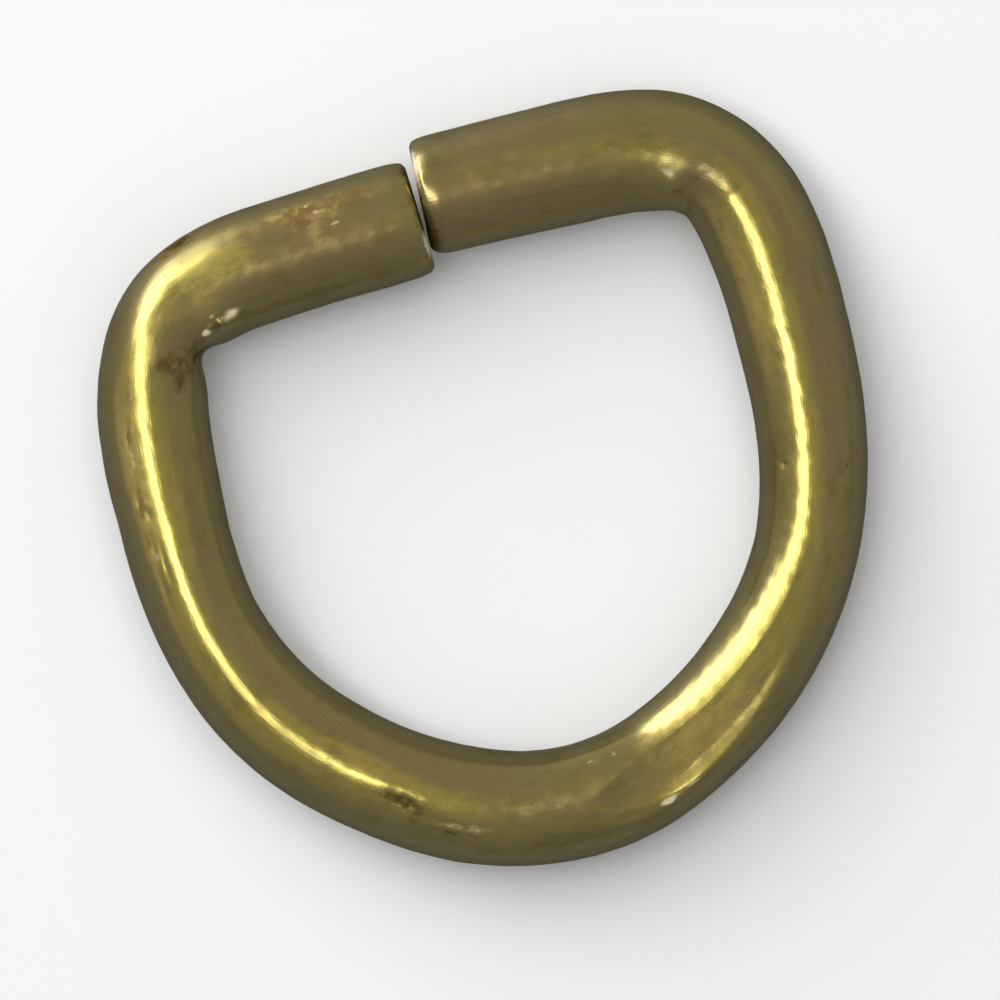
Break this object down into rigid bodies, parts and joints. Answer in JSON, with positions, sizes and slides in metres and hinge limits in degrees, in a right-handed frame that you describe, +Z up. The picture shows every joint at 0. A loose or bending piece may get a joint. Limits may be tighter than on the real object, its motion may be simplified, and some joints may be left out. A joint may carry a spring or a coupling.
{
  "type": "d ring",
  "caption": "Round brass wire bent to a D, with a straight bar for a strap and an unwelded joint in the middle of the bar.",
  "frame": {"origin": "centre of the ring's box, on the surface that the ring lies on", "axes": "+X along the bar, +Y from the bow to the bar, +Z up from the surface, square to the ring"},
  "size_m": [0.035, 0.0336, 0.005],
  "materials": {
    "wire": "aged and handled, olive brown with rubbed bright lines"
  },
  "bodies": {
    "root": {"d_ring": "wire"}
  },
  "joints": []
}
